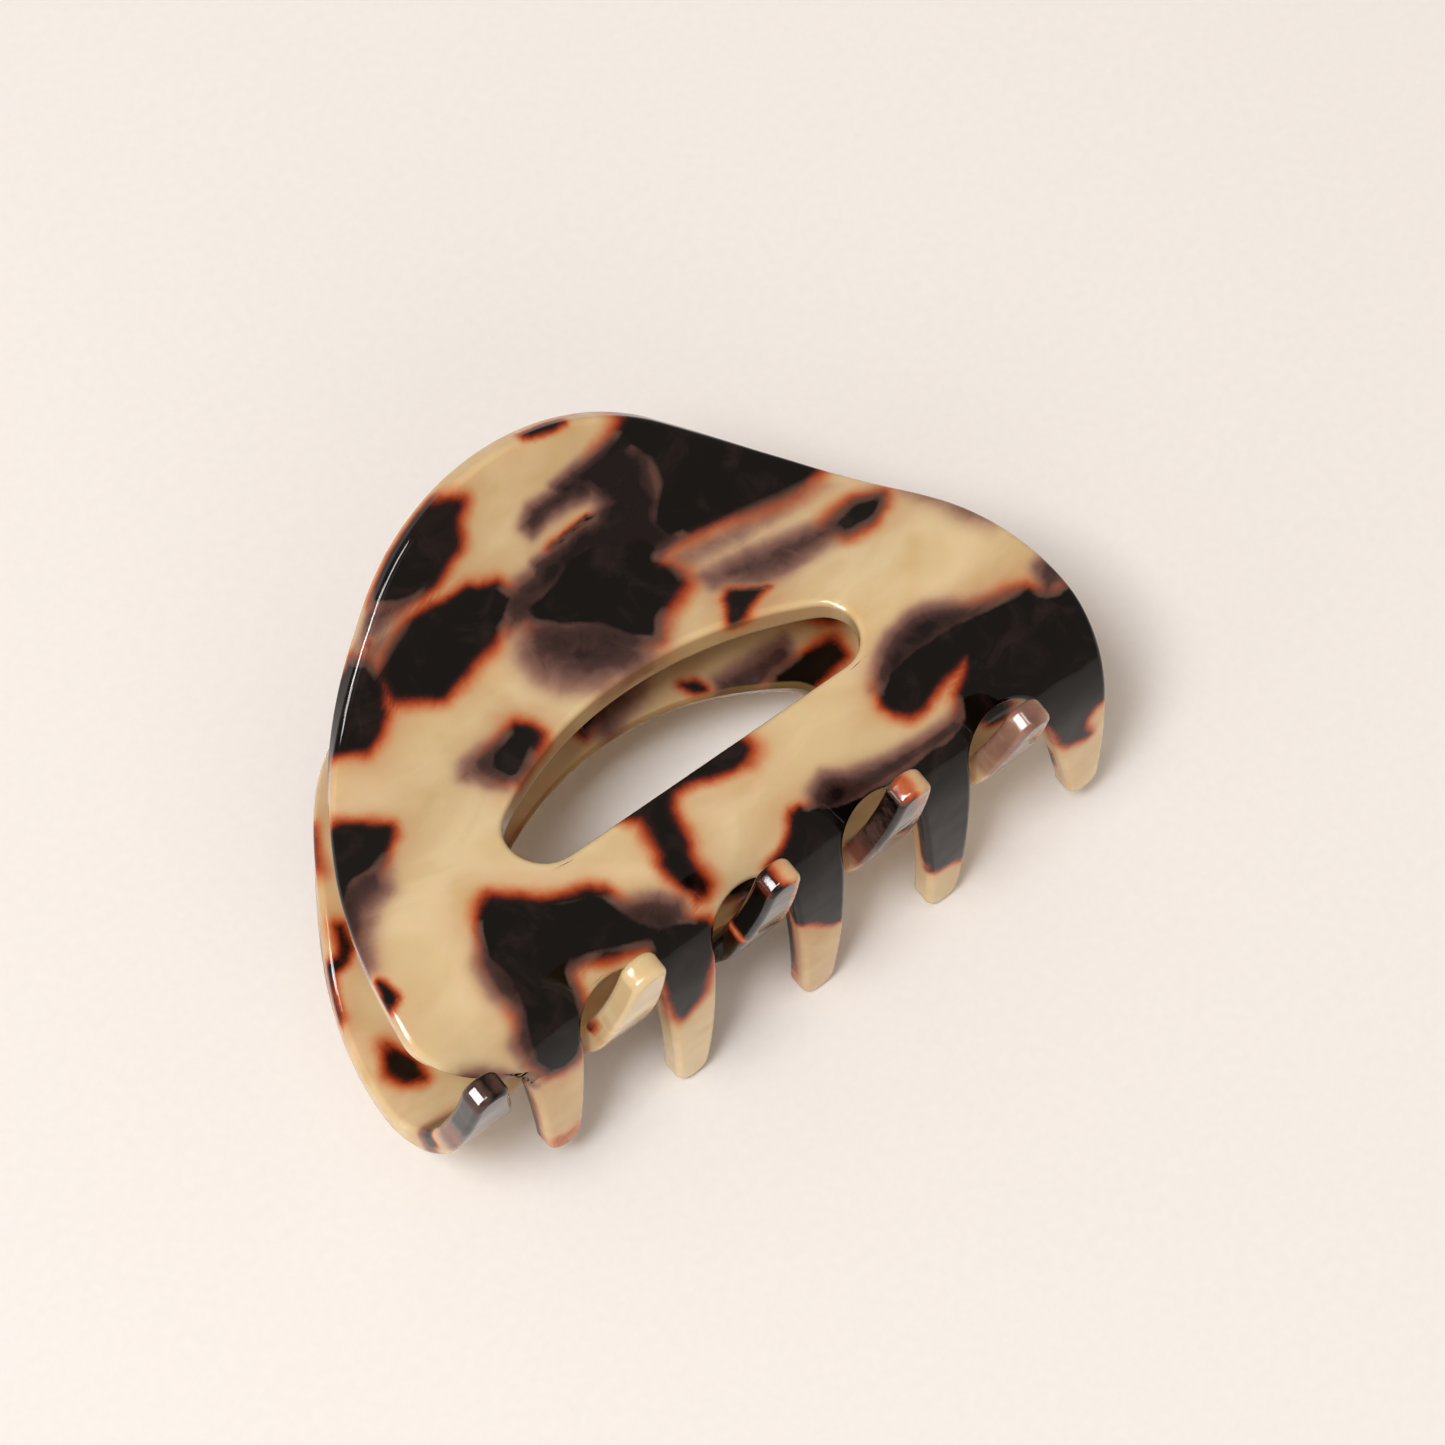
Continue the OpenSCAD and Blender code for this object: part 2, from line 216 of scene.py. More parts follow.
TIP_A = math.radians(84)       # the last row stops this far round each tip


def between(row):
    """Spreads eleven values over the fine columns."""
    return np.interp(K, np.arange(11), row)


def plan_rows():
    """The flat outline and its inside as rows of points (x, s), handle first."""
    rows = []
    cap_x = tip_r * math.sin(CAP_A)
    arch_end = float(arch(arch_x))
    arch_w = float(half_w(arch_end))
    lines = between([-arch_w, -(arch_w + arch_x) / 2] + [arch_x * i / 3 for i in range(-3, 4)]
                    + [(arch_w + arch_x) / 2, arch_w])
    tip_s = float(tip_r - math.sqrt(tip_r ** 2 - cap_x ** 2))
    for j in range(R_HANDLE + 1):
        f = j / R_HANDLE
        x0 = -cap_x + 2 * cap_x * K / 10
        s = (tip_r - np.sqrt(tip_r ** 2 - x0 ** 2)) * (1 - f) + arch(np.clip(lines, -arch_x, arch_x)) * f
        share = (K / 5 - 1) * (1 - f) + lines / arch_w * f
        s_end = tip_s + (arch_end - tip_s) * f
        rows.append((share * half_w(s_end), s))
    for j in range(1, R_SLOT + 1):
        a = corner_a + (math.pi / 2 - corner_a) * j / R_SLOT
        s = corner_s + slot_corner_r * math.sin(a)
        x = corner_x + slot_corner_r * math.cos(a)
        lx, rx = float(left_x(s)), float(right_x(s))
        rows.append((between([lx, (lx - x) / 2] + [x * i / 3 for i in range(-3, 4)] + [(rx + x) / 2, rx]),
                     np.full(K.shape, s)))
    last_slot = rows[-1][0]

    def root_row(a):
        """The row where every gap is open to angle a round its root."""
        s = gap_mid - gap_r * math.cos(a)
        w = gap_r * math.sin(a)
        row = [float(left_x(s)), root_l[0]]
        for i in range(4):
            row += [gap_x(i) - w, gap_x(i) + w]
        return between(row + [float(right_x(s))]), np.full(K.shape, s)

    first = root_row(ROOT_A)
    for j in range(1, R_WEB):
        f = j / R_WEB
        s = slot_low + (first[1][0] - slot_low) * f
        x = last_slot + (first[0] - last_slot) * smooth(f)
        x[0], x[-1] = float(left_x(s)), float(right_x(s))
        x[:SUB + 1] = x[0] + (x[SUB] - x[0]) * np.arange(SUB + 1) / SUB
        x[-SUB - 1:] = x[-SUB - 1] + (x[-1] - x[-SUB - 1]) * np.arange(SUB + 1) / SUB
        rows.append((x, np.full(K.shape, s)))
    for j in range(R_ROOT + 1):
        rows.append(root_row(ROOT_A + (math.pi / 2 - ROOT_A) * j / R_ROOT))

    def tooth_row(f, a):
        """The row at share f down the teeth, or at angle a round their tips."""
        xs, ss = [root_l[0]], [gap_mid]
        for i in range(5):
            body = tooth_tip[i] - tip_half_w
            for side, root in ((-1, root_l[i]), (1, root_r[i])):
                x = root + (tooth_x[i] + side * tip_half_w - root) * f
                xs.append(x - side * tip_half_w * (1 - math.cos(a)))
                ss.append(gap_mid + (body - gap_mid) * f + tip_half_w * math.sin(a))
        return between(xs), between(ss)

    for j in range(1, R_TOOTH + 1):
        rows.append(tooth_row(j / R_TOOTH, 0))
    for j in range(1, R_TIP + 1):
        rows.append(tooth_row(1, TIP_A * j / R_TIP))
    return np.array([np.stack(r, -1) for r in rows])


SPREAD_ROUNDS = 260            # rounds of averaging that carry the border's move into the faces


def plate_grid():
    """The plate's grid of points, its solid cells, and each point's move inwards as the edge rounds.

    pad is the cells with an open margin, border and used mark points, inset is the move of the border
    alone and spread is the move of every point on a flat face.
    """
    P = plan_rows()
    nj, nk = P.shape[:2]
    col = np.arange(nk - 1) // SUB
    row = np.arange(nj - 1)[:, None]
    solid = np.ones((nj - 1, nk - 1), bool)
    solid &= ~((col >= 2) & (col <= 7) & (row >= row_slot) & (row < row_web))
    solid &= ~((col > 0) & (col % 2 == 0) & (row >= row_gap))
    solid &= ~((col == 0) & (row >= row_teeth))
    pad = np.zeros((nj + 1, nk + 1))
    pad[1:-1, 1:-1] = solid
    N = np.zeros(P.shape)
    d = P[:, 1:] - P[:, :-1]
    n = np.stack([-d[..., 1], d[..., 0]], -1) / np.maximum(np.linalg.norm(d, axis=-1), 1e-9)[..., None]
    n *= (pad[1:, 1:-1] - pad[:-1, 1:-1])[..., None]
    N[:, :-1] += n
    N[:, 1:] += n
    d = P[1:] - P[:-1]
    n = np.stack([d[..., 1], -d[..., 0]], -1) / np.maximum(np.linalg.norm(d, axis=-1), 1e-9)[..., None]
    n *= (pad[1:-1, 1:] - pad[1:-1, :-1])[..., None]
    N[:-1] += n
    N[1:] += n
    m = (N ** 2).sum(-1)
    border = m > 0.01
    inset = np.where(border[..., None], N * (2 / np.maximum(m, 0.01))[..., None], 0)
    used = (pad[1:, 1:] + pad[:-1, 1:] + pad[1:, :-1] + pad[:-1, :-1]) > 0
    spread = inset.copy()
    free = used & ~border
    for _ in range(SPREAD_ROUNDS):
        avg = np.zeros(spread.shape)
        avg[1:-1, 1:-1] = (spread[2:, 1:-1] + spread[:-2, 1:-1] + spread[1:-1, 2:] + spread[1:-1, :-2]) / 4
        spread = np.where(free[..., None], avg, spread)
    return P, solid, pad, border, used, inset, spread


# ---------------------------------------------------------------- rest pose
joint = frame["joints"][0]
hinge = np.array(joint["pos_m"]) / MM
handle_y, handle_z = (float(v) for v in plate_yz(0, 0))
tooth_y, tooth_z = (float(v) for v in plate_yz(tooth_tip[2], 0))
tilt = math.atan((-handle_y - tooth_y) / (handle_z - tooth_z))


def laid(p, place=True):
    """From the clip's own axes to the CAD frame at rest, as places in metres or as directions."""
    p = np.asarray(p, float)
    q = np.stack([p[..., 0],
                  p[..., 1] * math.sin(tilt) + p[..., 2] * math.cos(tilt),
                  -p[..., 1] * math.cos(tilt) + p[..., 2] * math.sin(tilt)], -1)
    return (q + hinge) * MM if place else q


def sided(p, rear):
    """Points or normals of the front jaw's side, turned half a turn for the rear jaw's."""
    return np.asarray(p) * np.array([-1, -1, 1]) if rear else p


def new_object(name, verts, faces, material, normals=None):
    """A smooth-shaded mesh object with one material."""
    me = bpy.data.meshes.new(name)
    me.from_pydata([tuple(v) for v in verts], [], faces)
    me.validate()
    me.update()
    me.polygons.foreach_set("use_smooth", [True] * len(me.polygons))
    if normals is not None:
        me.normals_split_custom_set_from_vertices([tuple(n) for n in normals])
    ob = bpy.data.objects.new(name, me)
    bpy.context.scene.collection.objects.link(ob)
    me.materials.append(material)
    return ob


def add_attribute(me, name, values):
    """Stores one number or one vector per vertex for the materials."""
    values = np.asarray(values, float)
    if values.ndim == 1:
        at = me.attributes.new(name, "FLOAT", "POINT")
        at.data.foreach_set("value", values.astype(np.float32))
    else:
        at = me.attributes.new(name, "FLOAT_VECTOR", "POINT")
        at.data.foreach_set("vector", values.astype(np.float32).ravel())


ARC = np.radians(np.linspace(0, 90, 6))        # steps round each rounded edge


def jaw_mesh():
    """The plate's points as (x, s, depth) with normals in the same three axes, and its quads."""
    P, solid, pad, border, used, inset, spread = plate_grid()
    nj, nk = P.shape[:2]
    pts, nrm, faces = [], [], []
    out = -inset / np.maximum(np.linalg.norm(inset, axis=-1), 1e-9)[..., None]
    layers = ([(edge_round * (1 - math.cos(a)), edge_round * (1 - math.sin(a)), a) for a in ARC]
              + [(plate_t / 2, 0.0, math.pi / 2)]
              + [(plate_t - edge_round * (1 - math.cos(a)), edge_round * (1 - math.sin(a)), math.pi - a)
                 for a in ARC[::-1]])
    ids = []
    for depth, ins, a in layers:
        flat = depth == 0.0 or abs(depth - plate_t) < 1e-9
        mask = used if flat else (used & border)
        idx = np.full((nj, nk), -1)
        idx[mask] = len(pts) + np.arange(mask.sum())
        q = P + ins * (spread if flat else inset)
        for j, k in zip(*np.nonzero(mask)):
            pts.append((q[j, k, 0], q[j, k, 1], depth))
            if border[j, k]:
                nrm.append((out[j, k, 0] * math.sin(a), out[j, k, 1] * math.sin(a), -math.cos(a)))
            else:
                nrm.append((0.0, 0.0, -math.cos(a)))
        ids.append(idx)
    top, low = ids[0], ids[-1]
    for j, k in zip(*np.nonzero(solid)):
        faces.append((top[j, k], top[j, k + 1], top[j + 1, k + 1], top[j + 1, k]))
        faces.append((low[j, k], low[j + 1, k], low[j + 1, k + 1], low[j, k + 1]))
    for a, b in zip(ids[:-1], ids[1:]):
        g = pad[1:, 1:-1] - pad[:-1, 1:-1]
        for j, k in zip(*np.nonzero(g)):
            if g[j, k] > 0:
                faces.append((a[j, k], b[j, k], b[j, k + 1], a[j, k + 1]))
            else:
                faces.append((a[j, k], a[j, k + 1], b[j, k + 1], b[j, k]))
        g = pad[1:-1, 1:] - pad[1:-1, :-1]
        for j, k in zip(*np.nonzero(g)):
            if g[j, k] > 0:
                faces.append((a[j, k], a[j + 1, k], b[j + 1, k], b[j, k]))
            else:
                faces.append((a[j, k], b[j, k], b[j + 1, k], a[j + 1, k]))
    return np.array(pts), np.array(nrm), [tuple(int(i) for i in f[::-1]) for f in faces]


def bend(pts, nrm):
    """Bends the flat plate to its profile."""
    y, z = plate_yz(pts[:, 1], pts[:, 2])
    th = slant(pts[:, 1])
    xyz = np.stack([pts[:, 0] + plate_shift, y, z], -1)
    n = np.stack([nrm[:, 0],
                  nrm[:, 1] * np.sin(th) + nrm[:, 2] * np.cos(th),
                  -nrm[:, 1] * np.cos(th) + nrm[:, 2] * np.sin(th)], -1)
    return xyz, n / np.linalg.norm(n, axis=1)[:, None]


flat_pts, flat_nrm, jaw_faces = jaw_mesh()
jaw_xyz, jaw_nrm = bend(flat_pts, flat_nrm)


# ---------------------------------------------------------------- tortoiseshell, laid out on the flat plate
# A chip is a dark flake in the sheet: its outline (x, s) in mm, the width of its red fringe, and the
# depths it spans below the plate's outer face. A cloud is a smoky veil: outline, blur, strength, depths.
front_chips = [
    ([(-24, 3), (-9.5, -1), (-9.2, .6), (-8, 1), (-6.3, 1.6), (-5.2, 2.3), (-5.7, 2.8), (-6.4, 3.4),
      (-6.9, 4.4), (-7.1, 5.4), (-7.5, 6.2), (-8.9, 6.7), (-9.9, 7.6), (-11.2, 8.2), (-13.5, 8.4),
      (-15.5, 8), (-17, 7), (-18.5, 6.6)], 1.3, 0, 1.3),
    ([(-20, 9.6), (-19.6, 9.6), (-19.6, 10.1), (-20, 10.1)], .5, 0, .3),
    ([(-30, 12), (-24, 9.5), (-22, 10.8), (-20.8, 11.6), (-20.4, 13.5), (-20.3, 14.2), (-21, 15.5),
      (-21.7, 16.1), (-21.5, 16.8), (-22.8, 17.7), (-24.3, 18.6), (-25.3, 18.9), (-26.5, 18.2), (-28, 17.5),
      (-30, 17)], 1.2, 0, 1.6),
    ([(-20.3, 13.4), (-18.5, 11.8), (-15, 10.2), (-12.7, 10.3), (-11.3, 10.6), (-8.2, 10.5), (-7.2, 11.3),
      (-5.4, 11.9), (-4.9, 12.8), (-4.1, 13.9), (-6, 15.5), (-8.5, 16.5), (-11.4, 17.2), (-14, 18.1),
      (-15.8, 18.6), (-17.8, 17.4), (-20, 16.2)], 1.3, 0, 1.1),
    ([(-4, 15.5), (0, 14.6), (2, 13.6), (5, 13.5), (8, 14.2), (10, 15.2), (11.2, 16.2), (11.8, 17),
      (11.6, 17.8), (10.5, 18.5), (10.2, 19.2), (11, 20), (11.4, 21), (11, 22), (9.5, 22.6), (8, 23.3),
      (6.5, 24), (5.8, 24.8), (5, 26), (3, 24), (1, 21), (-2, 19), (-4, 17)], 1.5, 0, 1.2),
    ([(1.2, 11.7), (6, 10.9), (8, 11.7), (6, 11.5), (1.5, 12.2)], .6, 0, .5),
    ([(13.6, 4.2), (16, 4), (34, 16), (31, 19), (29.4, 19.7), (27.5, 20.1), (25, 20), (22, 19.4),
      (19, 18.7), (16, 18.2), (12.5, 17.8), (11.5, 15.5), (13, 13.5), (14.5, 12), (14.3, 9.5), (13.2, 7.5),
      (11.5, 7.6), (10, 7), (10.5, 5.9), (12, 5.3)], 1.7, 0, 1.5),
    ([(26.5, 25.6), (30, 24.8), (33, 26), (31.8, 27.4), (30, 28.1), (27, 27.8)], 1.3, 0, .9),
    ([(14, 25.7), (15, 26.6), (17.1, 27.9), (15.5, 28), (14, 28.6), (12.5, 29.4), (11.5, 29.2),
      (11.9, 28.5), (12.6, 27.5), (13, 26.5)], .9, 0, .7),
    ([(-12.8, 25.4), (-12, 25.1), (-11.3, 25.9), (-11, 26.6), (-11, 27.8), (-11.6, 28.6), (-14.5, 30),
      (-16, 30.8), (-16.6, 30), (-17.2, 27.8), (-16, 26.4), (-13.8, 25.8)], 1.1, 0, .8),
    ([(-38, 24), (-32.4, 23.7), (-31.6, 24), (-30, 25.6), (-28.4, 27.2), (-29.2, 28.3), (-30.6, 29.4),
      (-31.5, 30.2), (-33, 30.6), (-35, 30.4), (-37, 32), (-38.2, 34), (-40, 36), (-44, 36)], 1.2, 0, 1.5),
    ([(-40, 41), (-39.6, 41.8), (-39.5, 43.4), (-40.8, 43.8), (-40.5, 42.5)], .7, 0, .6),
    ([(-26.2, 40.1), (-24.8, 41.4), (-22.4, 43.4), (-21, 44.2), (-18, 45), (-17, 46), (-16.4, 47.8),
      (-15.8, 49.5), (-14, 51.5), (-11.5, 52.6), (-9.6, 54), (-9.2, 55.2), (-9.9, 57.3), (-11.3, 59.8),
      (-12.1, 61.6), (-14.3, 63.4), (-15, 62.6), (-15.4, 60), (-15.6, 56), (-16, 52.5), (-19, 51.5),
      (-21.5, 50.6), (-23.6, 49.8), (-24.4, 50.6), (-24.6, 53), (-24.9, 55.5), (-25.4, 57.3), (-26.6, 59),
      (-28.4, 59.5), (-30, 58.8), (-31.2, 56.8), (-31.2, 54), (-30.4, 51), (-29.8, 48), (-30.2, 45),
      (-29.2, 42.6), (-28.2, 41.2), (-27.4, 40.5)], 1.2, 0, 1.0),
    ([(3, 39), (3.4, 41.4), (3.3, 42.1), (2.2, 42.7), (.8, 42.7), (-1, 42.2), (-2.5, 41.7), (-4, 41.4),
      (-5.4, 41.3), (-6.6, 42.5), (-7, 43.6), (-7.2, 45.2), (-7.5, 46.5), (-8.1, 47.1), (-8.2, 48.5),
      (-7.9, 50.8), (-9, 51.6), (-9.4, 50.7), (-10, 50), (-10.3, 48.5), (-10.5, 46.8), (-9.9, 46),
      (-9.7, 44.5), (-9.4, 43), (-9.3, 41.8), (-10.3, 41), (-11, 40.3), (-11, 39)], 1.4, 0, 1.1),
    ([(-1.5, 53), (.5, 52.4), (2.3, 51.2), (2.7, 50.3), (3.2, 49.7), (4.3, 49.7), (4.8, 50.2), (5.8, 50.1),
      (6.6, 50.8), (8, 51.5), (11, 52), (14, 52.4), (17, 52.3), (19, 51.8), (22, 52.4), (23.5, 54),
      (23.5, 69), (21.5, 69.2), (20, 68.5), (18.3, 68.4), (17.1, 67.8), (16.9, 66.5), (15, 66.5),
      (14.5, 60), (9, 56.5), (7, 60), (6.5, 65.2), (5.3, 65), (4.5, 64.8), (3.5, 63.8), (2.5, 62.5),
      (1.5, 61.8), (-.3, 61.5), (-2, 61)], .9, 0, .8),
    ([(17.2, 45.8), (17.8, 44.4), (19.5, 43.3), (22, 42.8), (28, 42.7), (33.5, 43.5), (36.6, 44),
      (37.4, 45.2), (39, 46), (44, 46), (44, 59.4), (39.2, 59.2), (38, 59.4), (37, 60), (36.8, 61),
      (37.3, 62), (36, 61.7), (35, 61.5), (34, 60.8), (33.4, 59.5), (32.8, 58.5), (30, 56), (24, 55),
      (21, 54), (17, 53), (14, 52.4), (17, 52.6), (21, 52.2), (23.4, 51.4), (24, 50.2), (24.4, 49),
      (26.2, 47.8), (27.3, 46.4), (27.3, 46.3), (24, 46.8), (22, 47.4), (20.5, 48), (19, 48), (17.8, 47)],
      1.1, 0, 1.1),
    ([(-30, 70.2), (-29.3, 70.6), (-28, 70.3), (-27.5, 69.8), (-26.8, 70.2), (-26.5, 72), (-27, 73.5),
      (-30, 74)], .8, .3, 1.6),
    ([(3.5, 0), (5, .4), (6.8, .9), (8, .9), (6.5, -1)], .8, 0, 1.2),
]
front_clouds = [
    ([(-22, 6), (-17, 6.5), (-13, 8), (-15, 9), (-18, 9.6), (-21, 9.8)], 1.6, .8, 0, 1.2),
    ([(-6, 13), (0, 12.5), (1, 15), (-3, 17.5), (-7, 17)], 1.5, .85, 0, 1.2),
    ([(1, 12), (6, 11.4), (12, 12), (13, 15), (8, 14.5), (2, 14)], .9, .95, 0, 1),
    ([(-5, 16), (-7, 19), (-7, 22), (-6, 24.5), (-3, 27), (2, 28), (5, 26.5), (7, 24), (4, 20), (0, 17)],
      2.4, .78, 0, 1.4),
    ([(1, 6.6), (4, 6.7), (8, 6.3), (12, 5.5), (14, 8), (14, 12), (10, 12.5), (8, 11.5), (7.5, 9.5),
      (5, 8.8), (2, 9), (.2, 9.5), (-.5, 8)], 1.3, .98, 0, 1.2),
    ([(4, 6), (12, 5), (15, 8), (14, 14), (12, 16), (8, 14.5), (5, 13.5), (7, 11), (9, 9.5), (4, 8.2)], 1.2,
      .98, 0, 1.2),
    ([(-1, 12), (12, 11.5), (14, 18), (11, 18.5), (5, 15), (-3, 16)], 1.1, .96, 0, 1.2),
    ([(11, 18), (20, 19), (29, 20.2), (30, 22), (20, 22), (11, 21.5)], 1.7, .52, 0, 1),
    ([(-26, 9.5), (-18, 9), (-15, 10.5), (-21, 13.5), (-27, 14)], 1.2, .5, 0, 1.4),
    ([(12, 21.8), (16, 22.2), (22, 23.3), (27, 24.6), (33, 25), (33, 27), (30, 28.2), (24, 28), (19, 28),
      (16.5, 27.5), (14.5, 25.5), (12.8, 24.5)], 1.5, .68, 0, 1.2),
    ([(-20, 27), (-18.8, 25.2), (-16, 24.8), (-13, 24.9), (-13, 31), (-17.5, 31.3), (-18.5, 30)], 1.3, .7,
      0, 1.2),
    ([(-31, 30.2), (-32, 32.2), (-33.2, 33.8), (-35.5, 34.5), (-37.5, 36.4), (-39.5, 39.5), (-42, 40),
      (-42, 30), (-34, 29)], 1.7, .78, 0, 1.8),
    ([(-29, 42), (-31.6, 45), (-32, 48.5), (-31, 51), (-32.8, 53.5), (-32.5, 56), (-30.5, 59.2), (-27, 60),
      (-24.5, 57), (-24.3, 51), (-20, 50), (-14, 54), (-11, 53.4), (-10.5, 50.5), (-13, 48.5), (-16.6, 47)],
      1.3, .8, 0, 1.3),
    ([(17, 44), (18.5, 42.3), (20.5, 41), (22.5, 40), (25, 39.5), (27.5, 39.8), (29.5, 40.8), (31, 42),
      (36, 43.5), (30, 44), (20, 45)], 1.3, .85, 0, 1.2),
    ([(38.5, 42.5), (42, 41.8), (43, 46), (37, 46)], 1.4, .8, 0, 1.6),
    ([(5.5, 48.8), (8, 48), (10, 49), (14, 50.2), (18, 50.5), (22, 50.5), (24, 49.5), (24, 52.5),
      (4, 52.5)], 1.2, .88, 0, 1.1),
    ([(34, 27), (35, 30), (36, 34), (38, 37), (42, 36.5), (42, 30), (38, 24), (35, 22)], 1.8, .5, 0, 2.8),
    ([(-38.2, 52.6), (-36, 53.6), (-34.4, 55), (-32.5, 57.5), (-31.3, 59.5), (-33, 60), (-37, 56.5),
      (-40, 54)], 1.0, .6, 0, 2.8),
]
rear_chips = [
    ([(29.5, 18.5), (31.2, 17.5), (33, 19.5), (31.6, 21.2)], 1.4, 1.9, 2.8),
    ([(33, 27), (33.4, 26.7), (34.2, 28.6), (35, 29.4), (36.7, 29.3), (37.8, 31), (38.8, 33), (39, 34.6),
      (38.4, 34.4), (37.4, 31.6), (36.4, 30), (34.6, 30), (33.4, 28.9)], .9, 2.1, 2.8),
    ([(36.4, 40.2), (37.9, 42.6), (37, 44.8), (35.6, 45.8), (35.2, 43)], 1.4, 1.9, 2.8),
    ([(-11.8, 28.5), (-11.1, 27.2), (-9.8, 26.6), (-10.6, 28)], .8, 2.2, 2.8),
    ([(-26, 31.8), (-18.6, 30.9), (-17, 33), (-20, 35), (-26, 34)], 1.2, 1.7, 2.8),
    ([(-27.1, 29.8), (-25.6, 28.3), (-24, 27), (-27, 26)], 1.2, 1.9, 2.8),
    ([(35.4, 57.4), (38, 55.4), (42, 54.4), (42, 56), (38.4, 57.2), (36, 58.4)], .9, 1.4, 2.8),
    ([(32, 63), (35, 61.5), (39, 62), (41, 64), (40.4, 70.5), (37.5, 73.5), (34, 71.5), (32.4, 67)], 1.3, 0,
      2.8),
    ([(22.2, 60.4), (24.2, 60), (24.4, 62), (22.8, 62.4)], .8, 1.8, 2.8),
    ([(1.4, 58), (7.6, 56), (7, 62), (5.2, 64), (6.4, 66), (6, 74), (4.4, 77.4), (2.6, 76.4), (2.2, 70),
      (1.6, 63)], .8, 0, 2.8),
    ([(-14, 62), (-10.5, 61), (-10, 66), (-10.6, 76), (-12.4, 77), (-13.2, 70)], .9, 0, 2.8),
    ([(-31.6, 60), (-30.4, 59), (-30.2, 66), (-30.8, 71)], 1.3, 1.6, 2.8),
]
rear_clouds = [
    ([(35, 56), (36, 54.5), (40, 53), (43, 53), (43, 56), (38, 56.5), (36, 57.5)], .9, .55, 0, 2.8),
    ([(-22, 28.5), (-13, 28), (-12, 30), (-16, 32), (-22, 31)], 1.2, .8, 1.6, 2.8),
    ([(-31, 60), (-25.5, 61), (-26, 70), (-28, 78), (-30.6, 76)], 2.2, .62, 0, 2.8),
    ([(32, 60), (41, 59), (41.6, 74), (35, 76)], 2.4, .7, 0, 2.8),
    ([(-16, 60), (-8.4, 60), (-9.4, 76), (-14, 76)], 2.2, .75, 0, 2.8),
]


def drawn(outline):
    """Sets a drawn outline on the sheet, with a small shift that grows down the teeth."""
    p = np.array(outline, float)
    x, s = p[:, 0], p[:, 1]
    return np.stack([x + 0.3, s + 0.3 + 0.016 * x + (1.6 + 0.02 * x) * smooth((s - 57) / 6)], -1)


BLOB_N = 14                    # points round a scattered chip


def scattered(seed, count, d0, d1, keep):
    """Chips and clouds for a face whose pattern can't be seen, as irregular blobs."""
    rng = np.random.default_rng(seed)
    chips, clouds = [], []
    while len(chips) < count:
        x, s = rng.uniform(-40, 40), rng.uniform(0, 78)
        a = np.linspace(0, 2 * math.pi, BLOB_N + 1)[:-1]
        r = rng.uniform(1.5, 5.5) * (1 + 0.45 * np.sin(2 * a + rng.uniform(0, 6))
                                     + 0.25 * np.sin(3 * a + rng.uniform(0, 6))
                                     + 0.12 * rng.normal(size=BLOB_N))
        if not keep(x, s):
            continue
        stretch, turn = rng.uniform(1.1, 2.2), rng.uniform(0, math.pi)
        u, v = r * np.cos(a) * stretch, r * np.sin(a)
        blob = np.stack([x + u * math.cos(turn) - v * math.sin(turn),
                         s + u * math.sin(turn) + v * math.cos(turn)], -1)
        chips.append((blob, rng.uniform(.9, 1.6), d0, d1))
        clouds.append((blob + rng.uniform(-3, 3, 2), rng.uniform(1.5, 2.5), rng.uniform(.5, .85), d0, d1))
    return chips, clouds


def outline_distance(x, s, outline):
    """Signed distance from points to a closed outline, negative inside."""
    a = np.asarray(outline, float)
    b = np.roll(a, -1, 0)
    best = np.full(x.shape, 1e9)
    inside = np.zeros(x.shape, bool)
    for (ax, ay), (bx, by) in zip(a, b):
        dx, dy = bx - ax, by - ay
        t = np.clip(((x - ax) * dx + (s - ay) * dy) / max(dx * dx + dy * dy, 1e-9), 0, 1)
        best = np.minimum(best, np.hypot(x - ax - t * dx, s - ay - t * dy))
        if dy:
            inside ^= ((ay > s) != (by > s)) & (x < ax + dx * (s - ay) / dy)
    return np.where(inside, -best, best)


def flake_distance(pts, outline, d0, d1, across):
    """Distance from points to a flake that lies between depths d0 and d1, with depth weighted by across."""
    d = outline_distance(pts[:, 0], pts[:, 1], outline)
    off = across * np.maximum(0, np.maximum(d0 - pts[:, 2], pts[:, 2] - d1))
    return np.where(off > 0, np.hypot(np.maximum(d, 0), off), d)


def marbling(pts, chips, clouds):
    """Per point: distance to the nearest chip, that chip's fringe width, and smoke."""
    n = len(pts)
    edge, weight, fringe, smoke = np.full(n, 30.0), np.full(n, 1e-9), np.full(n, 1e-9), np.zeros(n)
    for outline, width, d0, d1 in chips:
        d = flake_distance(pts, outline, d0, d1, 1.7)
        edge = np.minimum(edge, d)
        w = np.exp(-np.clip(d, -2, 12) / 0.6)
        weight += w
        fringe += w * width
    for outline, blur, strength, d0, d1 in clouds:
        d = flake_distance(pts, outline, d0, d1, 1.5)
        smoke = np.maximum(smoke, strength * smooth(0.5 - d / (3.4 * blur)))
    return edge, np.clip(fringe / weight, 0.5, 1.8), smoke


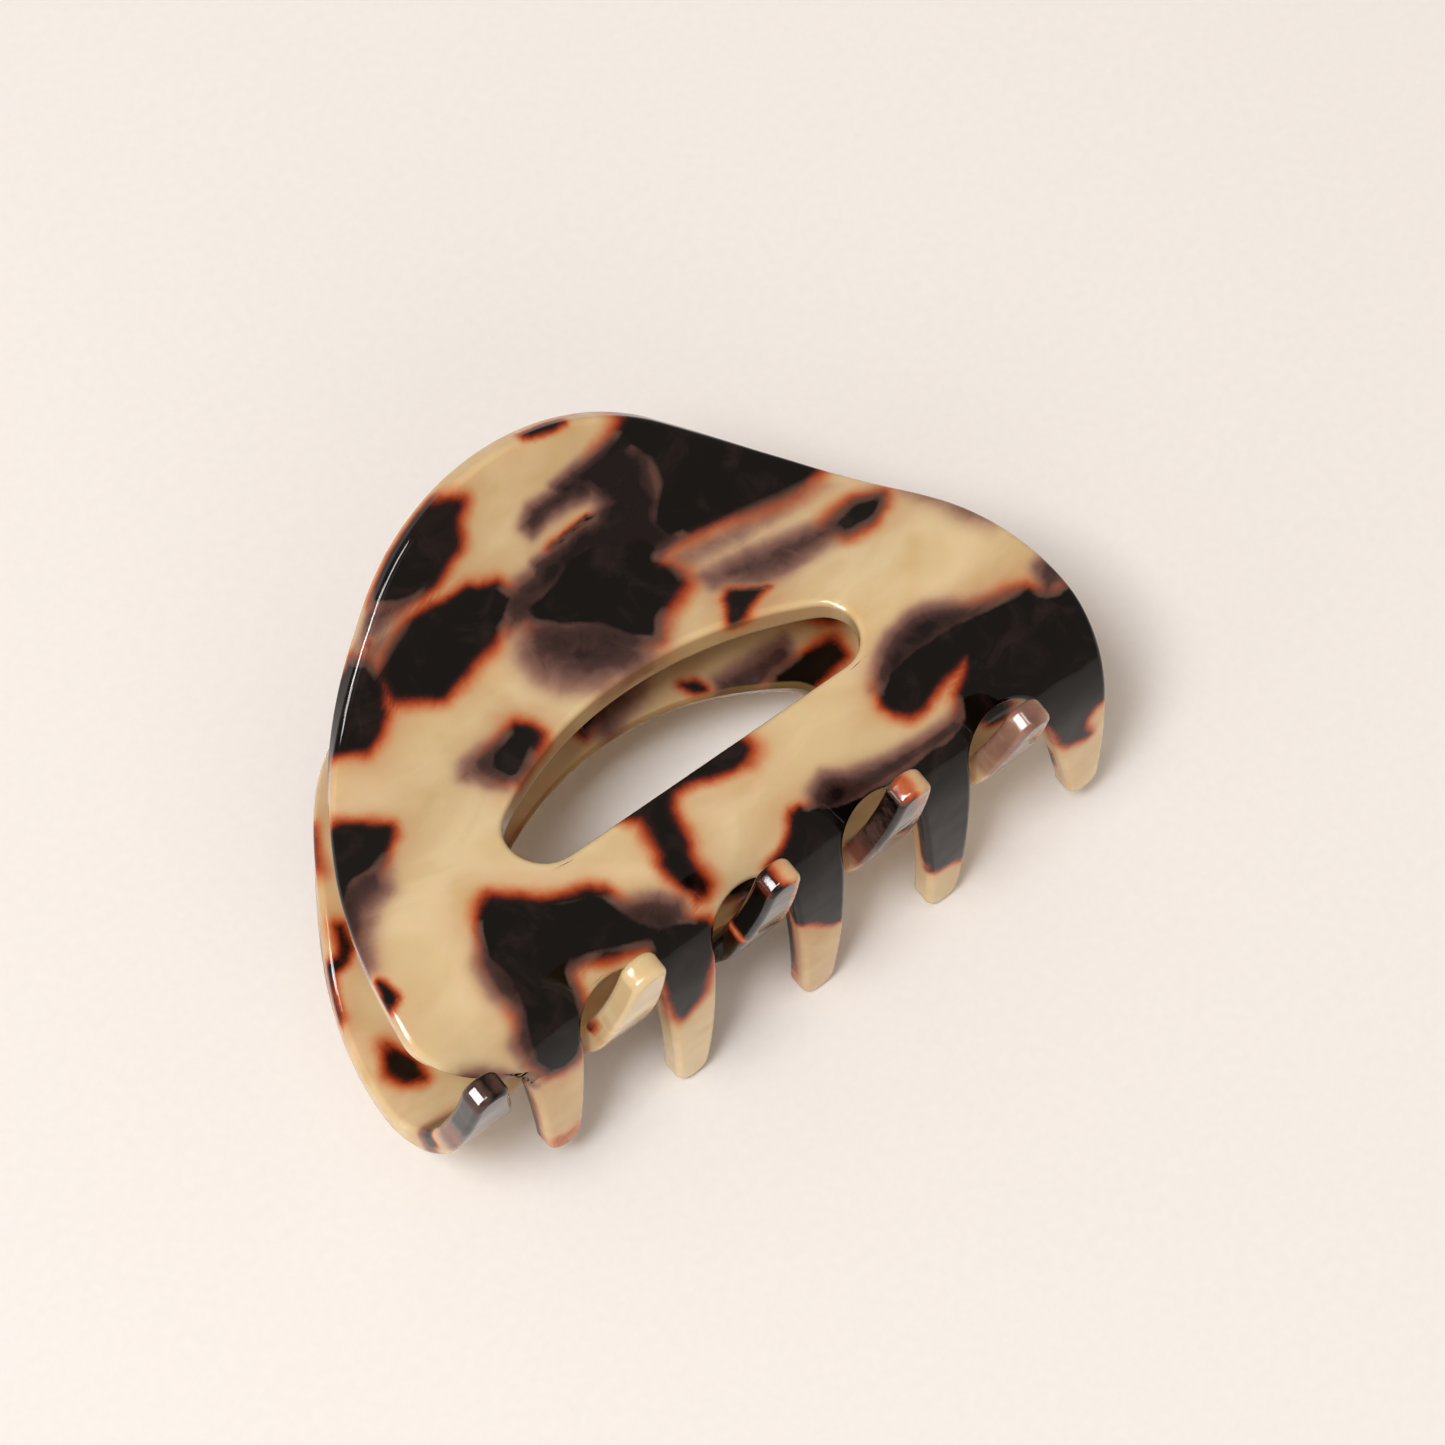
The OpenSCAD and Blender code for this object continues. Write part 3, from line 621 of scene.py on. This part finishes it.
# ---------------------------------------------------------------- materials
class Nodes:
    """Short helpers to lay out one material's nodes."""

    def __init__(self, name):
        self.mat = bpy.data.materials.new(name)
        self.mat.use_nodes = True
        self.tree = self.mat.node_tree
        self.bsdf = self.tree.nodes["Principled BSDF"]

    def link(self, value, socket):
        if hasattr(value, "links"):
            self.tree.links.new(value, socket)
        elif isinstance(value, (tuple, list)) and len(value) == 3 and len(socket.default_value) == 4:
            socket.default_value = (*value, 1)
        else:
            socket.default_value = value

    def attribute(self, name, out="Fac"):
        n = self.tree.nodes.new("ShaderNodeAttribute")
        n.attribute_name = name
        return n.outputs[out]

    def noise(self, vector, scale, detail=3.0, rough=0.5, distortion=0.0):
        n = self.tree.nodes.new("ShaderNodeTexNoise")
        self.link(vector, n.inputs["Vector"])
        n.inputs["Scale"].default_value = scale
        n.inputs["Detail"].default_value = detail
        n.inputs["Roughness"].default_value = rough
        n.inputs["Distortion"].default_value = distortion
        return n.outputs["Fac"]

    def math(self, op, a, b):
        n = self.tree.nodes.new("ShaderNodeMath")
        n.operation = op
        self.link(a, n.inputs[0])
        self.link(b, n.inputs[1])
        return n.outputs[0]

    def scaled(self, vector, factors):
        n = self.tree.nodes.new("ShaderNodeVectorMath")
        n.operation = "MULTIPLY"
        self.link(vector, n.inputs[0])
        n.inputs[1].default_value = factors
        return n.outputs[0]

    def ramp(self, fac, stops, ease="LINEAR"):
        n = self.tree.nodes.new("ShaderNodeValToRGB")
        n.color_ramp.interpolation = ease
        el = n.color_ramp.elements
        while len(el) < len(stops):
            el.new(0.5)
        for e, (pos, col) in zip(el, stops):
            e.position = pos
            e.color = (*col, 1) if isinstance(col, tuple) else (col, col, col, 1)
        self.link(fac, n.inputs[0])
        return n.outputs[0]

    def mix(self, fac, a, b):
        n = self.tree.nodes.new("ShaderNodeMix")
        n.data_type = "RGBA"
        self.link(fac, n.inputs[0])
        self.link(a, n.inputs[6])
        self.link(b, n.inputs[7])
        return n.outputs[2]

    def bump(self, height, strength, distance):
        n = self.tree.nodes.new("ShaderNodeBump")
        n.inputs["Strength"].default_value = strength
        n.inputs["Distance"].default_value = distance
        self.link(height, n.inputs["Height"])
        self.tree.links.new(n.outputs[0], self.bsdf.inputs["Normal"])


def srgb(r, g, b):
    """A colour given in 0-255 screen values, as the linear values that the shader takes."""
    return tuple(c / 255 / 12.92 if c <= 10 else ((c / 255 + 0.055) / 1.055) ** 2.4 for c in (r, g, b))


def tortoiseshell():
    """Blonde tortoiseshell: milky cream, smoky clouds, and black chips with red and orange fringes."""
    n = Nodes("acetate_tortoiseshell")
    at = n.attribute("blank", "Vector")
    edge, fringe, smoke = n.attribute("edge"), n.attribute("fringe"), n.attribute("smoke")
    # cream, with broad warm and milky drifts running along the sheet
    drift = n.noise(n.scaled(at, (0.8, 1.1, 1.6)), 0.075, 3, 0.5, 0.8)
    cream = n.ramp(drift, [(0.30, srgb(204, 177, 130)), (0.46, srgb(214, 190, 146)),
                           (0.58, srgb(222, 200, 159)), (0.74, srgb(209, 179, 129))], "EASE")
    veins = n.noise(n.scaled(at, (0.5, 1.2, 1.5)), 0.22, 4, 0.55, 1.0)
    milk = n.math("MULTIPLY", n.ramp(veins, [(0.5, 0.0), (0.72, 1.0)]), 0.3)
    cream = n.mix(milk, cream, srgb(224, 207, 171))
    # smoke: brown veils, streaked by wisps, that darken to black
    wisp = n.noise(at, 0.3, 4, 0.55, 0.6)
    streak = n.math("MULTIPLY", n.math("SUBTRACT", wisp, 0.5), n.math("MULTIPLY", smoke, 0.7))
    veil = n.math("ADD", smoke, streak)
    tone = n.ramp(veil, [(0.0, srgb(205, 178, 134)), (0.22, srgb(186, 150, 121)), (0.46, srgb(134, 98, 86)),
                         (0.68, srgb(78, 53, 49)), (0.92, srgb(24, 15, 15))])
    # chips: a black core, then a dark red and an orange fringe, then a broad peach glow
    coarse = n.math("MULTIPLY", n.math("SUBTRACT", n.noise(at, 0.45, 3, 0.5, 0.3), 0.5), 0.6)
    fine = n.math("MULTIPLY", n.math("SUBTRACT", n.noise(at, 1.7, 3, 0.55), 0.5), 0.22)
    ragged = n.math("ADD", n.math("ADD", edge, coarse), fine)
    wide = n.math("MULTIPLY", fringe, n.math("ADD", 0.2, n.math("MULTIPLY", n.noise(at, 0.13, 2), 3.0)))
    u = n.math("DIVIDE", ragged, wide)
    shade = n.math("DIVIDE", n.math("ADD", u, 0.6), 1.6)
    glow = n.math("MULTIPLY", n.ramp(n.math("DIVIDE", edge, 6.0), [(0.0, 1.0), (0.9, 0.0)], "EASE"),
                  n.ramp(n.noise(at, 0.1, 2), [(0.35, 0.15), (0.65, 0.7)]))
    body = n.mix(glow, cream, srgb(190, 138, 98))
    body = n.mix(n.ramp(veil, [(0.0, 0.0), (0.4, 1.0)], "EASE"), body, tone)
    depths = n.ramp(n.noise(at, 0.2, 4, 0.6, 0.8), [(0.5, srgb(8, 5, 4)), (0.74, srgb(38, 25, 23))])
    rim = n.ramp(shade, [(0.2, srgb(14, 8, 7)), (0.34, srgb(40, 15, 11)), (0.42, srgb(100, 32, 17)),
                         (0.54, srgb(168, 70, 34)), (0.70, srgb(196, 110, 60)), (0.9, srgb(204, 148, 96))])
    flake = n.mix(n.ramp(shade, [(0.2, 0.0), (0.34, 1.0)]), depths, rim)
    smoky = n.math("MULTIPLY", n.ramp(smoke, [(0.2, 0.0), (0.65, 1.0)]),
                   n.ramp(shade, [(0.2, 0.0), (0.31, 1.0)]))
    flake = n.mix(smoky, flake, n.mix(0.35, tone, srgb(30, 18, 16)))
    cover = n.ramp(shade, [(0.5, 1.0), (1.0, 0.0)], "EASE")
    colour = n.mix(cover, body, flake)
    # painted shade: the sawn slot wall lies in shade, so it is painted a darker, deeper yellow-brown
    painted_wall_shade = n.ramp(n.noise(at, 0.09, 3), [(0.35, srgb(158, 128, 76)), (0.65, srgb(128, 84, 48))])
    colour = n.mix(n.math("MULTIPLY", n.attribute("slot_shade_mask"), 0.8), colour, n.mix(0.35, painted_wall_shade, colour))
    n.link(colour, n.bsdf.inputs["Base Color"])
    # translucent where pale, hardly where dark
    pale = n.math("MULTIPLY", n.ramp(shade, [(0.4, 0.0), (0.8, 1.0)]),
                  n.ramp(smoke, [(0.3, 1.0), (0.9, 0.25)]))
    n.link(n.math("MULTIPLY", pale, 0.5), n.bsdf.inputs["Subsurface Weight"])
    n.bsdf.inputs["Subsurface Radius"].default_value = (1.0, 0.5, 0.22)
    n.bsdf.inputs["Subsurface Scale"].default_value = 0.003
    n.bsdf.inputs["IOR"].default_value = 1.48
    n.bsdf.inputs["Specular IOR Level"].default_value = 0.3
    # polished, with a faint haze and the slight waviness of hand polishing
    haze = n.noise(at, 0.9, 5, 0.6)
    n.link(n.ramp(haze, [(0.3, 0.05), (0.7, 0.10)]), n.bsdf.inputs["Roughness"])
    scratches = n.math("MULTIPLY", n.noise(at, 3.2, 3, 0.6), 0.012)
    n.bump(n.math("ADD", n.noise(at, 0.16, 2, 0.4), scratches), 0.35, 0.0006)
    return n.mat


def lug_acetate():
    """Plain swirled acetate in the brown and cream of the sheet."""
    n = Nodes("acetate_lugs")
    at = n.attribute("blank", "Vector")
    swirl = n.noise(at, 0.16, 3, 0.5, 1.2)
    n.link(n.ramp(swirl, [(0.34, srgb(64, 30, 18)), (0.46, srgb(150, 88, 46)), (0.58, srgb(203, 162, 110)),
                          (0.72, srgb(176, 120, 72))]), n.bsdf.inputs["Base Color"])
    n.bsdf.inputs["Subsurface Weight"].default_value = 0.25
    n.bsdf.inputs["Subsurface Radius"].default_value = (1.0, 0.45, 0.2)
    n.bsdf.inputs["Subsurface Scale"].default_value = 0.0015
    n.link(n.ramp(n.noise(at, 0.9, 4, 0.6), [(0.3, 0.10), (0.7, 0.18)]), n.bsdf.inputs["Roughness"])
    n.bump(n.noise(at, 0.5, 3, 0.5), 0.12, 0.0002)
    return n.mat


def steel(name, tint, along):
    """Drawn steel, with fine lines along the wire."""
    n = Nodes(name)
    at = n.attribute("blank", "Vector")
    lines = n.noise(n.scaled(at, along), 1.0, 4, 0.65)
    n.link(n.ramp(lines, [(0.25, tuple(c * 0.72 for c in tint)), (0.7, tint)]), n.bsdf.inputs["Base Color"])
    n.bsdf.inputs["Metallic"].default_value = 1.0
    n.link(n.ramp(lines, [(0.2, 0.38), (0.8, 0.2)]), n.bsdf.inputs["Roughness"])
    n.bump(lines, 0.2, 0.00005)
    return n.mat


# ---------------------------------------------------------------- jaws
flat_x, flat_s, flat_depth = flat_pts.T
# where the slot's sawn wall lies, which the material paints darker as painted shade
slot_shade_mask = ((flat_s > slot_top - 1) & (flat_s < slot_low + 1) & (np.abs(flat_x) < arch_x + slot_corner_r)
             & (np.abs(flat_nrm[:, 2]) < 0.99))


def make_jaw(name, body, rear, material, chips, clouds):
    """One jaw, with its pattern and its place on the sheet stored for the material."""
    ob = new_object(name, laid(sided(jaw_xyz, rear)), jaw_faces, material,
                    laid(sided(jaw_nrm, rear), False))
    for key, values in zip(("edge", "fringe", "smoke"), marbling(flat_pts, chips, clouds)):
        add_attribute(ob.data, key, values)
    # the slot wall's mask, for its painted shade
    add_attribute(ob.data, "slot_shade_mask", slot_shade_mask * smooth((flat_depth - 0.15) / 0.6))
    # the rear jaw is cut from another part of the sheet
    add_attribute(ob.data, "blank", flat_pts + (np.array([200, 0, 0]) if rear else 0))
    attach(ob, body)
    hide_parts(name)


def placed(patches):
    """The listed chips or clouds, set on the sheet."""
    return [(drawn(outline), *rest) for outline, *rest in patches]


acetate = tortoiseshell()
front_inside = scattered(3, 15, 1.9, 2.8, lambda x, s: True)
make_jaw("front_jaw", "front", False, acetate,
         placed(front_chips) + front_inside[0], placed(front_clouds) + front_inside[1])
rear_outside = scattered(8, 16, 0, 0.9, lambda x, s: s < 56)
rear_inside = scattered(12, 9, 1.8, 2.8, lambda x, s: x < 24 and (s < 25 or 40 < s < 52))
make_jaw("rear_jaw", "rear", True, acetate,
         placed(rear_chips) + rear_outside[0] + rear_inside[0],
         placed(rear_clouds) + rear_outside[1] + rear_inside[1])


# ---------------------------------------------------------------- hinge lugs, pin and spring
LUG_STEPS = 111                # steps round a lug's outline
LUG_ROUND = 0.3                # rounding of a lug's edges
LUG_NECK = 0.8                 # half height of a lug's neck at the axis, as a share of its radius
FOOT_GAP = 0.02                # bond line between a lug's foot and its plate
BORE_BEVEL = 0.12              # bevel at each end of a lug's bore
HEAD_PLAY = 0.15               # play between the pin's heads and the outer lugs
COIL_PLAY = 0.35               # play between the coil's ends and the inner lugs
LEG_GAP = 0.05                 # gap between a leg's end and the handle
PIN_SIDES = 48
COIL_STEPS = 36                # steps along each turn of the coil
LEG_STEPS = 11                 # steps along each leg
WIRE_SIDES = 16
WIRE_GRAIN = 8                 # scale of the drawn lines round the spring's wire


def rings(sections, closed_ends=True):
    """Skins a stack of equal rings of points into quads."""
    pts = np.concatenate(sections)
    m = len(sections[0])
    faces = []
    for i in range(len(sections) - 1):
        for q in range(m):
            r = (q + 1) % m
            faces.append((i * m + q, i * m + r, (i + 1) * m + r, (i + 1) * m + q))
    if closed_ends:
        faces.append(tuple(range(m))[::-1])
        faces.append(tuple(range((len(sections) - 1) * m, len(sections) * m)))
    return pts, faces


def lug_outline():
    """Distance of the lug's outline from the hinge axis, at each angle, and those angles."""
    foot_s = hinge_s + ear_foot * np.linspace(-1, 1, 29)
    fy, fz = plate_yz(foot_s, plate_t + FOOT_GAP)
    poly = np.concatenate([np.stack([fy, fz], -1), [[0, -ear_r * LUG_NECK], [0, ear_r * LUG_NECK]]])
    angles = np.sort(np.concatenate([np.linspace(-math.pi, math.pi, LUG_STEPS + 1)[:-1],
                                     np.arctan2([fz[0], fz[-1]], [fy[0], fy[-1]])]))
    out = []
    for a in angles:
        c, s = math.cos(a), math.sin(a)
        r = ear_r
        # the farthest point where this angle's ray crosses the foot and neck
        for p, q in zip(poly, np.roll(poly, -1, 0)):
            e = q - p
            det = c * -e[1] + s * e[0]
            if abs(det) > 1e-9:
                t = (p[0] * -e[1] + p[1] * e[0]) / det
                w = (c * p[1] - s * p[0]) / det
                if t > 0 and -1e-6 <= w <= 1 + 1e-6:
                    r = max(r, t)
        out.append(r)
    return np.array(out), angles


def make_lug(name, body, rear, x_mid):
    """One lug: a round eye about the pin, on a foot bonded to the plate's inner face."""
    r, a = lug_outline()
    unit = np.stack([np.cos(a), np.sin(a)], -1)
    bore = pin_r + pin_gap
    half = ear_t / 2
    # one side of the lug, from the bore out over the face and round its edge
    face = [(bore, half - BORE_BEVEL), (bore + BORE_BEVEL, half), ((bore + r) / 2, half)]
    for t in np.radians(np.linspace(0, 90, 5)):
        face.append((r - LUG_ROUND * (1 - math.sin(t)), half - LUG_ROUND * (1 - math.cos(t))))
    sections = []
    for radius, x in [(q, -x) for q, x in face] + face[::-1] + [(bore, BORE_BEVEL - half)]:
        yz = unit * np.broadcast_to(np.asarray(radius, float), a.shape)[:, None]
        sections.append(np.concatenate([np.full((len(a), 1), x_mid + x), yz], 1))
    pts, faces = rings(sections, False)
    ob = new_object(name, laid(sided(pts, rear)), faces, lug_mat)
    # the left and right lugs are cut from different places in the sheet
    add_attribute(ob.data, "blank", pts + np.array([len(name) * 7.0, 40, 0]))
    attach(ob, body)
    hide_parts(name)


lug_mat = lug_acetate()
inner_x = ear_in + ear_t / 2
outer_x = inner_x + ear_t + ear_gap
make_lug("front_ear_left", "front", False, -outer_x)
make_lug("front_ear_right", "front", False, inner_x)
make_lug("rear_ear_left", "rear", True, inner_x)
make_lug("rear_ear_right", "rear", True, -outer_x)


def make_pin():
    """A lathed rod with a formed, slightly domed head at each end."""
    end = outer_x + ear_t / 2 + HEAD_PLAY
    head = [(end, pin_r), (end, head_r - 0.12), (end + 0.05, head_r - 0.03), (end + 0.14, head_r),
            (end + 0.42, head_r), (end + 0.62, head_r * 0.93), (end + 0.78, head_r * 0.8),
            (end + 0.87, head_r * 0.55), (end + head_t, head_r * 0.2)]
    rod = [(x, pin_r) for x in np.linspace(-end, end, 9)[1:-1]]
    turn = np.linspace(0, 2 * math.pi, PIN_SIDES + 1)[:-1]
    pts, faces = rings([np.stack([np.full(PIN_SIDES, x), r * np.cos(turn), r * np.sin(turn)], -1)
                        for x, r in [(-x, r) for x, r in head[::-1]] + rod + head])
    pin = new_object("hinge_pin", laid(pts), faces, steel("pin_steel", (0.72, 0.71, 0.69), (0.6, 9, 9)))
    add_attribute(pin.data, "blank", pts)
    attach(pin, "rear")
    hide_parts("hinge_pin")


def make_spring():
    """A close coil with two straight legs, swept as a round wire."""
    leg_y, leg_z = (float(v) for v in plate_yz(leg_s, plate_t + wire_r + LEG_GAP))
    leg_dir = math.atan2(leg_z, leg_y)
    leg_open = math.acos(coil_r / math.hypot(leg_y, leg_z))
    coil_half = ear_in - COIL_PLAY - wire_r
    sweep = 2 * math.pi * coil_turns + (math.pi - 2 * leg_dir) + 2 * leg_open
    f = np.linspace(0, 1, COIL_STEPS * coil_turns + 1)
    turn = leg_dir - leg_open + f * sweep
    coil = np.stack([-coil_half + 2 * coil_half * f, coil_r * np.cos(turn), coil_r * np.sin(turn)], -1)
    leg_f = np.linspace(0, 1, LEG_STEPS + 1)[:-1, None]
    front_leg = np.array([-coil_half, leg_y, leg_z])
    rear_leg = np.array([coil_half, -leg_y, leg_z])
    wire = np.concatenate([front_leg + (coil[0] - front_leg) * leg_f, coil,
                           (rear_leg + (coil[-1] - rear_leg) * leg_f)[::-1]])
    tangent = np.gradient(wire, axis=0)
    tangent /= np.linalg.norm(tangent, axis=1)[:, None]
    side = np.array([1.0, 0, 0]) - tangent * tangent[:, :1]
    side /= np.linalg.norm(side, axis=1)[:, None]
    up = np.cross(tangent, side)
    around = np.linspace(0, 2 * math.pi, WIRE_SIDES + 1)[:-1]
    c, s = np.cos(around), np.sin(around)
    pts, faces = rings([wire[i] + wire_r * (c[:, None] * side[i] + s[:, None] * up[i])
                        for i in range(len(wire))])
    spring = new_object("torsion_spring", laid(pts), faces,
                        steel("spring_steel", (0.60, 0.59, 0.57), (1, 1, 0.08)))
    along = np.concatenate([[0], np.cumsum(np.linalg.norm(np.diff(wire, axis=0), axis=1))])
    add_attribute(spring.data, "blank",
                  np.stack([np.tile(WIRE_GRAIN * c, len(wire)), np.tile(WIRE_GRAIN * s, len(wire)),
                            np.repeat(along, WIRE_SIDES)], -1))
    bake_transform(spring)
    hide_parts("torsion_spring")


make_pin()
make_spring()

# ---------------------------------------------------------------- floor, light, camera
paper = Nodes("floor_paper")
grain = paper.noise(paper.tree.nodes.new("ShaderNodeTexCoord").outputs["Object"], 900.0, 4, 0.6)
paper.link(paper.ramp(grain, [(0.3, (0.862, 0.832, 0.815)), (0.7, (0.885, 0.856, 0.839))]),
           paper.bsdf.inputs["Base Color"])
paper.bsdf.inputs["Roughness"].default_value = 0.85
floor = new_object("floor", [(-3, -3, 0), (3, -3, 0), (3, 3, 0), (-3, 3, 0)], [(0, 1, 2, 3)], paper.mat)

cam_data = bpy.data.cameras.new("camera")
cam_data.lens = 139.484
cam_data.sensor_width = 36
cam = bpy.data.objects.new("camera", cam_data)
cam.location = (-0.174289, -0.170758, 0.513150)
cam.rotation_euler = tuple(math.radians(a) for a in (26.183, -4.495, -38.518))
bpy.context.scene.collection.objects.link(cam)
bpy.context.scene.camera = cam


def area(name, loc, size, power, color):
    """A rectangular light aimed at the clip."""
    li = bpy.data.lights.new(name, "AREA")
    li.shape = "RECTANGLE"
    li.size, li.size_y = size
    li.energy = power
    li.color = color
    ob = bpy.data.objects.new(name, li)
    ob.location = loc
    ob.rotation_euler = (-Vector(loc)).to_track_quat("-Z", "Y").to_euler()
    bpy.context.scene.collection.objects.link(ob)
    return ob


area("key", (-0.72, -0.10, 1.42), (0.46, 0.46), 17.0, (0.98, 0.985, 0.99))
area("fill", (-0.9, -2.0, 1.5), (2.2, 1.6), 8.5, (1, 0.93, 0.87))
# a window that is seen only in gloss, above all as the bright line along the rim
window = area("window", (-1.35, 0.1, 0.75), (0.45, 1.3), 75, (1, 1, 1))
window.visible_diffuse = False
world = bpy.data.worlds.new("world")
bpy.context.scene.world = world
world.use_nodes = True
world.node_tree.nodes["Background"].inputs["Color"].default_value = (1, 0.87, 0.75, 1)
world.node_tree.nodes["Background"].inputs["Strength"].default_value = 0.42
bpy.context.scene.view_settings.view_transform = "Standard"
